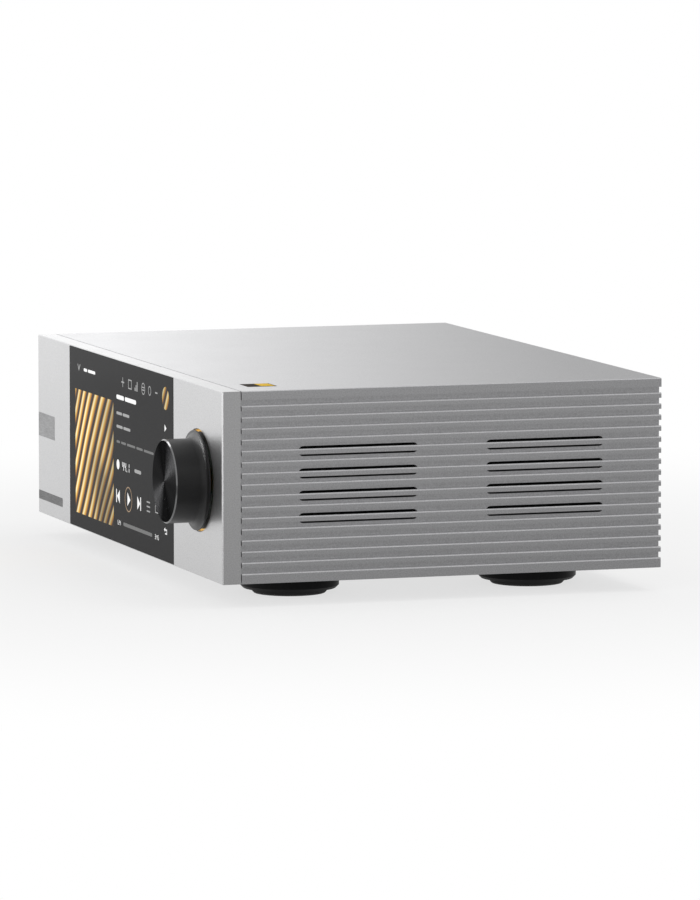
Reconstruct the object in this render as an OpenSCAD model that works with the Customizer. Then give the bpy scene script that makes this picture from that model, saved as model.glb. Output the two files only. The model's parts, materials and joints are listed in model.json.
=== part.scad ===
// Compact network music streamer: ribbed aluminium casing, full-height touch display,
// push-and-turn knob in a lit ring, boards inside and a row of sockets at the back.
// Modules work in the body's own frame: x from the middle, y back from the front face,
// z up from the casing's lower edge. in_frame() then stands the part on its pads.

/* [Body] */
// Width of the casing and front panel
body_w = 270; // [243:1:320]
// Depth from the front panel's face to the casing's rear edge
body_d = 187; // [186:1:240]
// Height of the casing without the feet
body_h = 77.5; // [70:0.5:100]

/* [Casing] */
// Distance from one rib to the next
rib_pitch = 4.5; // [4:0.05:4.6]
// Height of a rib's outer face
rib_face = 1.7; // [1.2:0.05:2]
// Depth of the grooves between the ribs
rib_depth = 2.7; // [2:0.1:3.2]
// Height of the chamfer along a rib's upper edge
rib_edge_h = 0.5; // [0.4:0.05:1]
// Depth of that chamfer
rib_edge_in = 0.3; // [0.2:0.05:0.8]
// Fall of a rib's upper side from the chamfer to the root
rib_fall = 0.2; // [0:0.05:0.3]
// Least height of the plain bands above and below the ribs
band_least = 3; // [2:0.1:5]
// Wall behind the grooves
side_wall = 3; // [2.5:0.1:4]
// Thickness of the casing's top
top_wall = 3; // [2:0.1:4]
// Chamfer along the casing's top edges
casing_chamfer = 0.3; // [0.2:0.1:1]
// Width of the screw rails inside the casing
rail = 6; // [6:0.5:8]

/* [Vents] */
// Length of one vent slot
vent_l = 50.6; // [30:0.1:64]
// Height of a vent slot, behind its rib
vent_h = 4.1; // [3.6:0.1:4.4]
// Distance of the vents behind the middle of the casing's side
vent_back = 0.3; // [0:0.1:3]
// Distance between the middles of the two vent groups
vent_spacing = 79.6; // [70:0.1:90]
// Vent slots in one group
vent_rows = 4; // [1:1:5]
// Rib in front of the lowest slot, counted from the lower band
vent_first_rib = 5; // [3:1:5]

/* [Front panel] */
// Thickness of the front panel
front_t = 7.8; // [7.4:0.1:9]
// Gap between the front panel and the casing
seam = 0.35; // [0.1:0.05:0.4]
// Chamfer round the panel's front edges
front_chamfer = 0.3; // [0.2:0.1:0.3]
// Chamfer down its two sides
front_side_chamfer = 0.5; // [0.3:0.1:0.8]
// Depth of the two locating pegs in the casing's rails
peg_l = 8; // [5:0.5:10]

/* [Display] */
// Width of the cover glass
glass_w = 153.2; // [140:0.1:156]
// Distance from the cover glass to the light ring
glass_gap = 13.7; // [10:0.1:18]
// Thickness of the cover glass
glass_t = 1.8; // [1.2:0.1:2.4]
// Metal left above and below the glass
glass_lip = 0.35; // [0.35:0.05:2]
// Width of the display module behind the glass
lcd_w = 138; // [120:1:140]
// Height of the display module
lcd_h = 68; // [60:0.5:69]

/* [Knob] */
// Distance of the knob's axis from the panel's right edge
knob_edge = 33; // [30:0.5:36]
// Radius of the knob
knob_r = 17; // [14:0.5:17]
// Reach of the knob in front of the panel
knob_out = 14.2; // [12:0.1:20]
// Chamfer on the knob's front rim
knob_chamfer = 0.5; // [0.3:0.1:1.2]
// Radius of the skirt at the knob's foot
skirt_r = 20.2; // [19.9:0.1:20.4]
// Thickness of the skirt's rim
skirt_t = 0.6; // [0.4:0.1:1]
// Radius of the hollow curve from knob to skirt
skirt_curve = 2.8; // [1.5:0.1:2.8]
// Travel of the knob when it is pushed
push_travel = 0.5; // [0.3:0.1:0.8]
// Gap left between the skirt and the panel when the knob is pushed
push_gap = 0.3; // [0.3:0.1:0.6]
// Radius of the encoder's shaft
shaft_r = 3; // [2.5:0.1:3]

/* [Light ring] */
// Outer radius of the light ring
ring_r = 20.5; // [20.5:0.1:22]
// Width of the light ring
ring_w = 3.3; // [2:0.1:4]
// Thickness of the light ring
ring_t = 2.2; // [1.5:0.1:2.6]
// Depth of the light ring behind the panel's face
ring_sunk = 1.5; // [0.3:0.1:1.8]

/* [Feet] */
// Height of the feet below the casing
foot_h = 9.6; // [8:0.1:14]
// Radius of a foot
foot_r = 20.2; // [18:0.1:22]
// Radius of a foot's pad
pad_r = 15.2; // [12:0.1:16]
// Height of a pad below its foot
pad_h = 2.1; // [1.5:0.1:3]
// Depth of a pad inside its foot
pad_sunk = 1; // [0.5:0.1:1.5]
// Distance of a foot's middle from the casing's side
foot_inset_x = 44; // [40:0.5:48]
// Distance of a foot's middle from the front face and from the rear edge
foot_inset_y = 42.2; // [40:0.1:48]

/* [Tray] */
// Sheet thickness of the bottom tray
tray_t = 1.6; // [1.2:0.1:2]
// Rise of the tray above the casing's lower edge
tray_rise = 0.8; // [0.5:0.1:1.2]
// Height of the tray's bent tabs
tab_h = 11; // [10:0.5:12]
// Width of the tray's bent tabs
tab_w = 14; // [10:0.5:16]

/* [Boards] */
// Thickness of the circuit boards
board_t = 1.6; // [1.2:0.1:2]
// Height of the spacers under the boards
spacer_h = 6; // [6:0.5:8]

/* [Rear panel] */
// Thickness of the rear panel
rear_t = 2; // [1.5:0.1:2.5]
// Depth of the rear panel inside the casing's rear edge
rear_inset = 1; // [0.5:0.1:1.5]
// Reach of the round jacks behind the casing
jack_out = 9; // [8:0.5:10]
// Height of the upper row of small sockets
upper_z = 50; // [46:0.5:52]
// Height of the lower row of small sockets
lower_z = 26; // [25:0.5:28]

/* [Hidden] */
$fn = 64;

// Overshoot of cuts, loose fits, running fits and drop-in fits
over = 1;
loose = 0.2;
running = 0.05;
drop_in = 0.1;

// Main planes of the body
half_w = body_w / 2;
front_y = (knob_out - body_d - jack_out) / 2;
casing_y = front_t + seam;
rear_y = body_d - rear_inset;
rear_in = rear_y - rear_t;
jack_y = body_d + jack_out;
inner_x = half_w - rib_depth - side_wall;
ceiling_z = body_h - top_wall;
tray_z = tray_rise + tray_t;
board_z = tray_z + spacer_h;
board_top = board_z + board_t;

// Ribs: the bands above and below them share what the grooves leave
groove_h = rib_pitch - rib_face;
rib_root_h = rib_edge_h - rib_fall;
groove_count = floor((body_h + rib_face - 2 * band_least) / rib_pitch);
band_h = (body_h - groove_count * rib_pitch + rib_face) / 2;
vent_past_floor = 0.3;
side_y = (casing_y + body_d) / 2;
vent_y = side_y + vent_back;

// Knob and encoder
knob_x = half_w - knob_edge;
knob_z = body_h / 2;
knob_gap = push_travel + push_gap;
ring_board_t = 1;
ring_board_gap = 0.3;
ring_back = ring_sunk + ring_t;
recess_y = ring_back + ring_board_t;
recess_chamfer = 0.4;
bush_wall = 0.6;
bush_r = shaft_r + bush_wall;
bush_l = 3;
bush_y = recess_y - bush_l;
nut_t = 2.2;
nut_across = 10;
encoder_w = 13;
encoder_wall = 1;
encoder_room = 0.5;
encoder_board_w = 28;
encoder_board_h = 24;
encoder_board_r = 2;
shaft_in = 4.5;
shaft_knob = 11;
plunger_step = 0.5;
plunger_r = shaft_r - plunger_step;
plunger_l = 1.3;
plunger_play = 0.2;
encoder_t = shaft_in + plunger_play + plunger_l + push_travel + encoder_room + encoder_wall;
knob_hollow_r = 7;
knob_hollow = 2.2;
set_screw_r = 1.5;
set_screw_l = 5;
set_screw_out = 5;

// Glass and what stands behind it
glass_x1 = knob_x - ring_r - glass_gap;
glass_x0 = glass_x1 - glass_w;
glass_x = (glass_x0 + glass_x1) / 2;
glass_chamfer = 0.35;
bracket_t = 1.2;
bracket_above_tab = 3;
bracket_below_top = 9;
bracket_z0 = tray_z + tab_h + bracket_above_tab;
bracket_z1 = body_h - bracket_below_top;
bracket_rim = 12;
bracket_flange = 7;
bracket_hole_out = 4;
bracket_hole_in = 3;
bracket_back = front_t + bracket_t;
display_board_w = 70;
display_board_h = 34;
plug_h = 6;
plug_t = 2;
plug_side = 1;
socket_d = 5;
socket_h = 2.4;
ribbon_w = 24;
ribbon_t = 0.3;
ribbon_y = bracket_back + board_t + plug_t / 2;
ribbon_rise = 1.3;
ribbon_z = board_top + ribbon_rise;

// Screws: radius, head radius, head height
m3 = [1.5, 2.8, 1.6];
m25 = [1.2, 2.3, 1.4];
m4 = [2, 3.8, 2.4];
screw_l = 8;
small_screw_l = 5;
rail_x = inner_x - rail / 2;
rail_top_z = ceiling_z - rail / 2;
tray_screw_in = 18;
tray_screw_y = [casing_y + tray_screw_in, side_y, rear_in - tray_screw_in];
lcd_left = glass_x - lcd_w / 2;
lcd_right = glass_x + lcd_w / 2;
tab_from_lcd = 10;
tab_from_edge = 24;
front_tab_x = [(lcd_left - inner_x + rail) / 2, lcd_right + tab_from_lcd, half_w - tab_from_edge];
tab_hole_down = 5;
tab_hole_z = tray_z + tab_h - tab_hole_down;
tab_screw_past = 1;
tab_screw_l = rear_t + tray_t + tab_screw_past;
panel_bite = 3;
panel_hole = panel_bite + over;
xlr_screw = [9.5, 12];

// Feet
foot_x = half_w - foot_inset_x;
foot_ys = [foot_inset_y, body_d - foot_inset_y];
foot_chamfer = 1.2;
foot_nut_across = 7;
foot_nut_t = 3.2;

// Slots in the tray's floor
tray_slot_l = 36;
tray_slot_w = 3;
tray_slot_pitch = 8;
tray_slot_x = 30;
tray_slot_count = 7;

// Socket sizes as [width, height, depth]
network_size = [16, 13.4, 21];
usb_size = [14.6, 15.8, 18];
video_size = [15, 6.2, 13];

// Places of the sockets on the rear panel
jack_depth = 14;
jack_margin = 9;
rca_x = 42;
coax_x = 23;
optical_x = 4;
video_x = -17;
usb_x = -38;
network_x = -60;
antenna_down = 16.5;
antenna_z = ceiling_z - antenna_down;
socket_out = 0.8;
xlr_edge = 22;
xlr_pitch = 29;
xlr_x = [inner_x - xlr_edge, inner_x - xlr_edge - xlr_pitch];
xlr_z = body_h / 2;
inlet_edge = 24;
inlet_x = inlet_edge - inner_x;
inlet_z = 25;
switch_down = 18.5;
switch_z = ceiling_z - switch_down;
rear_tab_x = [inlet_x, optical_x, (xlr_x[0] + xlr_x[1]) / 2];

// Boards as [left, front, right, back, distance of the rear holes from the back]
board_side = 8;
board_gap = 3;
supply_w = 36;
supply_d = 110;
supply_back = 14;
main_d = 121;
main_back = 3;
main_past_optical = 14;
audio_d = 92;
audio_back = 12;
supply_left = board_side - inner_x;
main_left = supply_left + supply_w + board_gap;
ribbon_end = glass_x + ribbon_w / 2 + plug_side;
board_hole_inset = 4.5;
main_right = max(optical_x + main_past_optical, ribbon_end + 2 * board_hole_inset);
supply_area = [supply_left, rear_in - supply_back - supply_d, supply_left + supply_w,
    rear_in - supply_back, board_hole_inset];
main_area = [main_left, rear_in - main_back - main_d, main_right,
    rear_in - main_back, network_size[2] + board_hole_inset];
audio_area = [main_right + board_gap, rear_in - audio_back - audio_d, inner_x - board_side,
    rear_in - audio_back, board_hole_inset];
board_areas = [main_area, audio_area, supply_area];
spacer_across = 5.5;
foot_clear_y = foot_ys[0] + foot_nut_across + spacer_across / 2;

// Components on the boards
sink_in = 48;
processor_w = 22;
processor_t = 2;
sink_w = 40;
sink_base = 4;
sink_h = 20;
fin_t = 1.4;
fin_count = 10;
memory_w = 14;
memory_d = 9;
memory_h = 1.2;
memory_pitch = 12;
coil_w = 7;
coil_h = 3.5;
coil_pitch = 15;
chip_gap = 6;
converter_w = 12;
converter_h = 1.4;
converter_in = 22;
crystal_w = 5;
crystal_d = 7;
crystal_h = 3;
amplifier_w = 6;
amplifier_d = 5;
amplifier_h = 1.6;
amplifier_out = 24;
amplifier_pitch = 12;
amplifier_in = 40;
audio_cap_r = 4;
audio_cap_h = 11;
audio_cap_pitch = 13;
audio_cap_in = 62;
cap_groove_z = 2;
cap_groove_h = 1.2;
cap_groove_in = 0.5;
cap_edge = 0.6;
supply_cap_r = 8;
supply_cap_h = 30;
supply_cap_gap = 1;
supply_cap_in = 24;
transformer_in = 58;
bobbin_w = 32;
bobbin_d = 28;
bobbin_h = 4;
winding_w = 22;
winding_h = 18;
core_d = 14;
core_h = 27;
fuse_w = 6;
fuse_d = 18;
fuse_h = 12;
filter_w = 14;
filter_d = 8;
filter_h = 11;
filter_in = 92;

// Mouths and inner shapes of the sockets
xlr_corner = 3;
xlr_bore_depth = 15;
xlr_pin_ring = 3.6;
xlr_pin_l = 12;
xlr_pin_r = 1.2;
phono_block = 12;
phono_mouth = 1.2;
phono_wall = 0.7;
phono_pin_r = 1.6;
phono_pin_in = 4;
antenna_block = 8;
antenna_nut_t = 2;
antenna_bore = 6;
antenna_bore_r = 2.3;
inlet_corner = 2;
inlet_depth = 15;
inlet_mouth_w = 24.4;
inlet_mouth_h = 17;
inlet_mouth_cut = 5;
blade_w = 2;
blade_h = 4;
blade_l = 12;
blade_x = 7;
blade_split = 1;
switch_corner = 1.5;
rocker_well = 5;
rocker_room = 0.8;
rocker_back = 2.4;
rocker_horn = 2.9;
rocker_dip = 1.8;
rocker_taper = 1;
network_mouth = [11.8, 8, 13];
network_key = [6, 1.6];
network_sill = 3;
usb_mouth = [12.6, 5.2, 11];
usb_sill = 1.6;
usb_pitch = 7.4;
usb_tongue = [11.2, 1.9, 9];
usb_tongue_up = 3;
video_mouth = [14, 5.4, 10];
video_foot_w = 10.4;
video_sill = 0.8;
video_shoulder = 2.6;
video_tongue = [10.8, 1.3, 8.5];
video_tongue_up = 3;

// Flanges, bodies and small sockets
xlr_flange = [26, 31, 2];
xlr_r = 11.5;
xlr_bore_r = 9.2;
xlr_depth = 20;
inlet_flange = [31, 24, 2.2];
inlet_body = [27.2, 20, 16];
switch_flange = [15, 21, 1.5];
switch_body = [13, 19, 18];
optical_w = 9.8;
optical_bore = 8;
optical_depth = 12;
optical_shoulder = 12;
shutter_t = 0.9;
shutter_pin_r = 0.6;
shutter_pin_drop = 0.95;
shutter_pin_in = 1.4;
shutter_pin_l = 0.6;
rca_r = 4.15;
rca_neck_r = 4.8;
rca_collar_r = 6;
rca_collar_t = 2;
antenna_r = 3.1;
antenna_nut = 8;
rocker_tilt = 8;
rocker_pin_r = 1.2;
rocker_pin_l = 0.7;
rocker_in = 2.2;
rocker_w = 10.2;
rocker_h = 15.2;

// Stands the body's own frame on the floor, centred
module in_frame() {
    translate([0, front_y, foot_h]) children();
}

// Box between two corners
module block(low, high) {
    translate(low) cube(high - low);
}

// Extrudes an outline in x and z from one y to another
module along_y(from, to) {
    translate([0, to, 0]) rotate([90, 0, 0]) linear_extrude(to - from) children();
}

// Extrudes an outline in y and z from one x to another
module along_x(from, to) {
    translate([from, 0, 0]) rotate([90, 0, 90]) linear_extrude(to - from) children();
}

module rod_x(y, z, from, to, r) {
    translate([from, y, z]) rotate([0, 90, 0]) cylinder(h = to - from, r = r);
}

module rod_y(x, z, from, to, r) {
    translate([x, from, z]) rotate([-90, 0, 0]) cylinder(h = to - from, r = r);
}

module rod_z(x, y, from, to, r) {
    translate([x, y, from]) cylinder(h = to - from, r = r);
}

// Slot outline with round ends
module obround(length, height) {
    square([length - height, height], center = true);
    for (side = [-1, 1]) translate([side * (length - height) / 2, 0]) circle(d = height);
}

module rounded(w, h, r) {
    square([w - 2 * r, h], center = true);
    square([w, h - 2 * r], center = true);
    for (sx = [-1, 1], sy = [-1, 1])
        translate([sx * (w / 2 - r), sy * (h / 2 - r)]) circle(r);
}

// Hexagon across its flats
module hexagon(across) {
    circle(r = across / sqrt(3), $fn = 6);
}

// Socket-head screw: its head stands on z = 0 and its shank points down
module screw(size, length) {
    difference() {
        union() {
            cylinder(h = size[2], r = size[1]);
            translate([0, 0, -length]) cylinder(h = length + size[2] / 2, r = size[0]);
        }
        translate([0, 0, size[2] / 2]) linear_extrude(size[2]) hexagon(size[0] * 1.6);
    }
}

// Casing: one extrusion with ribbed sides, slotted behind some of its ribs
function groove(i) = let (z = band_h + i * rib_pitch) [
    [half_w, z], [half_w - rib_edge_in, z + rib_edge_h], [half_w - rib_depth, z + rib_root_h],
    [half_w - rib_depth, z + groove_h], [half_w, z + groove_h]];

function mirrored(points) = [for (i = [len(points) - 1:-1:0]) [-points[i][0], points[i][1]]];

module casing_outline() {
    right = concat([[half_w, 0]], [for (i = [0:groove_count - 1]) each groove(i)],
        [[half_w, body_h - casing_chamfer], [half_w - casing_chamfer, body_h]]);
    polygon(concat(right, mirrored(right),
        [[-inner_x, 0], [-inner_x, ceiling_z], [inner_x, ceiling_z], [inner_x, 0]]));
}

module rails() {
    in_wall = inner_x + side_wall / 2;
    block([inner_x - rail, casing_y, ceiling_z - rail], [in_wall, rear_in, ceiling_z + top_wall / 2]);
    block([inner_x - rail, casing_y, tray_z], [in_wall, rear_in, tray_z + rail]);
}

module vents() {
    for (row = [0:vent_rows - 1], group = [-1, 1]) {
        rib_top = band_h + (vent_first_rib + 2 * row) * rib_pitch;
        slot_z = rib_top + (rib_root_h - rib_face) / 2;
        along_x(inner_x - over, half_w - rib_depth + vent_past_floor)
            translate([vent_y + group * vent_spacing / 2, slot_z]) obround(vent_l, vent_h);
    }
}

module casing() {
    color("silver") in_frame() difference() {
        union() {
            along_y(casing_y, body_d) casing_outline();
            for (side = [0, 1]) mirror([side, 0, 0]) rails();
        }
        for (side = [0, 1]) mirror([side, 0, 0]) {
            vents();
            rod_y(rail_x, rail_top_z, rear_in - screw_l - over, rear_in + over, m3[0] + running);
            rod_y(rail_x, rail_top_z, casing_y - over, front_t + peg_l + over, m3[0] + drop_in);
            for (y = tray_screw_y) rod_z(rail_x, y, tray_z - over, tray_z + rail - over, m3[0] + running);
        }
    }
}

// Front panel: chamfered plate with the display's bed and the ring's bed
module front_blank() {
    c = front_chamfer;
    s = front_side_chamfer;
    intersection() {
        along_x(-half_w, half_w) polygon([[c, 0], [0, c], [0, body_h - c], [c, body_h],
            [front_t, body_h], [front_t, 0]]);
        linear_extrude(body_h) polygon([[s - half_w, 0], [half_w - s, 0], [half_w, s],
            [half_w, front_t], [-half_w, front_t], [-half_w, s]]);
    }
}

module glass_bed() {
    block([glass_x0 - drop_in, -over, glass_lip], [glass_x1 + drop_in, glass_t, body_h - glass_lip]);
    for (side = [-1, 1]) translate([glass_x + side * (glass_w / 2 + drop_in), 0, glass_lip])
        linear_extrude(body_h - 2 * glass_lip) polygon([[-side * over, -over],
            [side * (glass_chamfer + over), -over], [-side * over, glass_chamfer + over]]);
}

module front_panel() {
    color("gainsboro") in_frame() {
        difference() {
            front_blank();
            glass_bed();
            translate([glass_x, 0, body_h / 2]) along_y(0, front_t + over)
                square([lcd_w + 2 * loose, lcd_h + 2 * loose], center = true);
            rod_y(knob_x, knob_z, -over, recess_y, ring_r + drop_in);
            translate([knob_x, -over, knob_z]) rotate([-90, 0, 0]) cylinder(h = over + recess_chamfer,
                r1 = ring_r + drop_in + recess_chamfer + over, r2 = ring_r + drop_in);
            rod_y(knob_x, knob_z, 0, front_t + over, bush_r + drop_in);
            for (x = front_tab_x) rod_y(x, tab_hole_z, front_t - panel_hole, front_t + over, m3[0] + running);
            for (p = bracket_holes())
                rod_y(p[0], p[1], front_t - panel_hole, front_t + over, m25[0] + running);
        }
        for (side = [-1, 1]) rod_y(side * rail_x, rail_top_z, front_t - over, front_t + peg_l, m3[0]);
    }
}

// Rear panel with a cut-out for each socket
module socket_hole(x, z, size) {
    translate([x, 0, z]) along_y(rear_in - over, rear_y + over)
        square([size[0] + 2 * loose, size[1] + 2 * loose], center = true);
}

module rear_hole(x, z, r) {
    rod_y(x, z, rear_in - over, rear_y + over, r);
}

module rear_panel() {
    color("gainsboro") in_frame() difference() {
        block([loose - inner_x, rear_in, tray_rise], [inner_x - loose, rear_y, ceiling_z - loose]);
        for (x = xlr_x) {
            rear_hole(x, xlr_z, xlr_r + loose);
            for (s = [-1, 1]) rear_hole(x + s * xlr_screw[0], xlr_z + s * xlr_screw[1], m3[0] + drop_in);
        }
        for (x = [rca_x, coax_x], z = [upper_z, lower_z]) rear_hole(x, z, rca_neck_r + loose);
        for (z = [upper_z, lower_z]) socket_hole(optical_x, z, [optical_w, optical_w]);
        for (x = [video_x, network_x]) rear_hole(x, antenna_z, antenna_r + loose);
        socket_hole(network_x, board_top + network_size[1] / 2, network_size);
        socket_hole(usb_x, board_top + usb_size[1] / 2, usb_size);
        socket_hole(video_x, board_top + video_size[1] / 2, video_size);
        socket_hole(inlet_x, inlet_z, inlet_body);
        socket_hole(inlet_x, switch_z, switch_body);
        for (s = [-1, 1]) rear_hole(s * rail_x, rail_top_z, m3[0] + drop_in);
        for (x = rear_tab_x) rear_hole(x, tab_hole_z, m3[0] + drop_in);
    }
}

// Bottom tray: sheet with bent tabs, holes and a field of slots
module bottom_tray() {
    half = inner_x - loose;
    color("darkgray") in_frame() difference() {
        union() {
            block([-half, casing_y, tray_rise], [half, rear_in, tray_z]);
            for (x = front_tab_x) block([x - tab_w / 2, front_t, tray_rise],
                [x + tab_w / 2, front_t + tray_t, tray_z + tab_h]);
            for (x = rear_tab_x) block([x - tab_w / 2, rear_in - tray_t, tray_rise],
                [x + tab_w / 2, rear_in, tray_z + tab_h]);
        }
        for (x = front_tab_x) rod_y(x, tab_hole_z, front_t - over, front_t + tray_t + over, m3[0] + drop_in);
        for (x = rear_tab_x) rod_y(x, tab_hole_z, rear_in - tray_t - over, rear_in + over, m3[0] + drop_in);
        for (s = [-1, 1], y = tray_screw_y) rod_z(s * rail_x, y, 0, tray_z + over, m3[0] + drop_in);
        for (s = [-1, 1], y = foot_ys) rod_z(s * foot_x, y, 0, tray_z + over, m4[0] + drop_in);
        for (s = [-1, 1], i = [0:tray_slot_count - 1])
            translate([s * tray_slot_x, side_y + (i - (tray_slot_count - 1) / 2) * tray_slot_pitch, 0])
                linear_extrude(tray_z + over) obround(tray_slot_l, tray_slot_w);
    }
}

// Screws that hold the tray, panels and large sockets
module case_screws() {
    color("dimgray") in_frame() {
        for (s = [-1, 1], y = tray_screw_y) translate([s * rail_x, y, tray_rise])
            rotate([180, 0, 0]) screw(m3, tray_t + rail - 2 * over);
        for (x = front_tab_x) translate([x, front_t + tray_t, tab_hole_z])
            rotate([-90, 0, 0]) screw(m3, tray_t + panel_bite);
        for (x = rear_tab_x) translate([x, rear_y, tab_hole_z]) rotate([-90, 0, 0]) screw(m3, tab_screw_l);
        for (s = [-1, 1]) translate([s * rail_x, rear_y, rail_top_z])
            rotate([-90, 0, 0]) screw(m3, screw_l);
        for (x = xlr_x, s = [-1, 1])
            translate([x + s * xlr_screw[0], rear_y + xlr_flange[2], xlr_z + s * xlr_screw[1]])
                rotate([-90, 0, 0]) screw(m3, screw_l);
    }
}

// Display: cover glass, module, bracket, driver board and flat ribbon
function bracket_holes() = [
    for (sx = [-1, 1], z = [bracket_z0 + bracket_hole_in, bracket_z1 - bracket_hole_in])
        [glass_x + sx * (lcd_w / 2 + bracket_hole_out), z]];

module display_glass() {
    color([0.1, 0.1, 0.11]) in_frame()
        block([glass_x0, 0, glass_lip + drop_in], [glass_x1, glass_t, body_h - glass_lip - drop_in]);
}

module display_module() {
    color([0.2, 0.2, 0.22]) in_frame() translate([glass_x, 0, body_h / 2]) along_y(glass_t, front_t)
        square([lcd_w, lcd_h], center = true);
}

module display_bracket() {
    half = lcd_w / 2 + bracket_flange;
    mid_z = (bracket_z0 + bracket_z1) / 2;
    color("lightgray") in_frame() difference() {
        block([glass_x - half, front_t, bracket_z0], [glass_x + half, bracket_back, bracket_z1]);
        for (s = [-1, 1]) translate([glass_x + s * half / 2, 0, mid_z])
            along_y(front_t - over, bracket_back + over)
                square([half - 2 * bracket_rim, bracket_z1 - bracket_z0 - 2 * bracket_rim], center = true);
        for (p = bracket_holes()) rod_y(p[0], p[1], front_t - over, bracket_back + over, m25[0] + drop_in);
    }
}

module display_board() {
    mid_z = (bracket_z0 + bracket_z1) / 2;
    back = bracket_back + board_t;
    color("darkgreen") in_frame() {
        block([glass_x - display_board_w / 2, bracket_back, mid_z - display_board_h / 2],
            [glass_x + display_board_w / 2, back, mid_z + display_board_h / 2]);
        block([glass_x - ribbon_w / 2 - plug_side, back - over, mid_z - plug_h],
            [glass_x + ribbon_w / 2 + plug_side, back + plug_t, mid_z]);
    }
}

module display_ribbon() {
    top = (bracket_z0 + bracket_z1) / 2 - plug_h;
    end = main_area[1] + over;
    color("white") in_frame() translate([glass_x - ribbon_w / 2, 0, 0]) along_x(0, ribbon_w)
        polygon([[ribbon_y, top], [ribbon_y + ribbon_t, top], [ribbon_y + ribbon_t, ribbon_z + ribbon_t],
            [end, ribbon_z + ribbon_t], [end, ribbon_z], [ribbon_y, ribbon_z]]);
}

// Knob group on the encoder's axis
module light_ring() {
    color("orange") in_frame() difference() {
        rod_y(knob_x, knob_z, ring_sunk, ring_back, ring_r);
        rod_y(knob_x, knob_z, ring_sunk - over, ring_back + over, ring_r - ring_w);
    }
}

module ring_board() {
    color("darkgreen") in_frame() difference() {
        rod_y(knob_x, knob_z, ring_back, recess_y, ring_r - ring_board_gap);
        rod_y(knob_x, knob_z, 0, recess_y + over, knob_hollow_r);
    }
}

module encoder_body() {
    color("dimgray") in_frame() difference() {
        union() {
            translate([knob_x, 0, knob_z]) along_y(front_t, front_t + encoder_t)
                square(encoder_w, center = true);
            rod_y(knob_x, knob_z, bush_y, front_t + over, bush_r);
        }
        rod_y(knob_x, knob_z, bush_y - over, front_t + encoder_t - encoder_wall, shaft_r + running);
    }
}

module encoder_nut() {
    color("gold") in_frame() difference() {
        translate([knob_x, 0, knob_z]) along_y(recess_y - nut_t, recess_y) hexagon(nut_across);
        rod_y(knob_x, knob_z, 0, recess_y + over, bush_r + running);
    }
}

module encoder_board() {
    back = front_t + encoder_t;
    color("darkgreen") in_frame() translate([knob_x, 0, knob_z]) along_y(back, back + board_t)
        rounded(encoder_board_w, encoder_board_h, encoder_board_r);
}

module push_plunger() {
    from = front_t + shaft_in + plunger_play;
    color("ivory") in_frame() rod_y(knob_x, knob_z, from, from + plunger_l, plunger_r);
}

module encoder_shaft() {
    color("silver") in_frame() rod_y(knob_x, knob_z, -shaft_knob, front_t + shaft_in, shaft_r);
}

// Half outline of the knob, from the skirt's back face outwards
module knob_outline() {
    reach = knob_out - knob_gap;
    curve = [for (a = [270:-9:180]) [knob_r + skirt_curve + skirt_curve * cos(a),
        skirt_t + skirt_curve + skirt_curve * sin(a)]];
    polygon(concat([[0, 0], [skirt_r, 0], [skirt_r, skirt_t]], curve,
        [[knob_r, reach - knob_chamfer], [knob_r - knob_chamfer, reach], [0, reach]]));
}

module knob() {
    color([0.12, 0.12, 0.13]) in_frame() difference() {
        translate([knob_x, -knob_gap, knob_z]) rotate([90, 0, 0]) rotate_extrude() knob_outline();
        rod_y(knob_x, knob_z, -shaft_knob - drop_in, over, shaft_r + running);
        rod_y(knob_x, knob_z, -knob_gap - knob_hollow, over, knob_hollow_r);
        rod_z(knob_x, -knob_gap - set_screw_out, knob_z - skirt_r, knob_z, set_screw_r + running);
    }
}

module knob_set_screw() {
    color("silver") in_frame() rod_z(knob_x, -knob_gap - set_screw_out,
        knob_z - shaft_r - drop_in - set_screw_l, knob_z - shaft_r - drop_in, set_screw_r);
}

// Feet: turned disc, rubber pad, screw and nut
module foot(sx, y) {
    low = pad_h - foot_h;
    c = foot_chamfer;
    color([0.06, 0.06, 0.06]) in_frame() translate([sx * foot_x, y, 0]) difference() {
        rotate_extrude() polygon([[0, low], [foot_r - c, low], [foot_r, low + c],
            [foot_r, tray_rise - c / 2], [foot_r - c / 2, tray_rise], [0, tray_rise]]);
        rod_z(0, 0, low - over, low + pad_sunk, pad_r + drop_in);
        rod_z(0, 0, low, low + pad_sunk + m4[2] + loose, m4[1] + loose);
        rod_z(0, 0, low, tray_rise + over, m4[0] + drop_in);
    }
}

module pad(sx, y) {
    c = foot_chamfer / 2;
    top = pad_h + pad_sunk;
    color([0.03, 0.03, 0.03]) in_frame() translate([sx * foot_x, y, -foot_h])
        rotate_extrude() polygon([[0, 0], [pad_r - c, 0], [pad_r, c], [pad_r, top], [0, top]]);
}

module foot_front_left() { foot(-1, foot_ys[0]); }
module foot_front_right() { foot(1, foot_ys[0]); }
module foot_rear_left() { foot(-1, foot_ys[1]); }
module foot_rear_right() { foot(1, foot_ys[1]); }
module pad_front_left() { pad(-1, foot_ys[0]); }
module pad_front_right() { pad(1, foot_ys[0]); }
module pad_rear_left() { pad(-1, foot_ys[1]); }
module pad_rear_right() { pad(1, foot_ys[1]); }

module foot_screws() {
    seat = pad_h - foot_h + pad_sunk + m4[2] + loose;
    color("silver") in_frame() for (sx = [-1, 1], y = foot_ys) translate([sx * foot_x, y, seat])
        rotate([180, 0, 0]) screw(m4, tray_z + foot_nut_t - seat);
}

module foot_nuts() {
    color("silver") in_frame() for (sx = [-1, 1], y = foot_ys) translate([sx * foot_x, y, tray_z])
        difference() {
            linear_extrude(foot_nut_t) hexagon(foot_nut_across);
            translate([0, 0, -over]) cylinder(h = foot_nut_t + 2 * over, r = m4[0] + running);
        }
}

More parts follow.
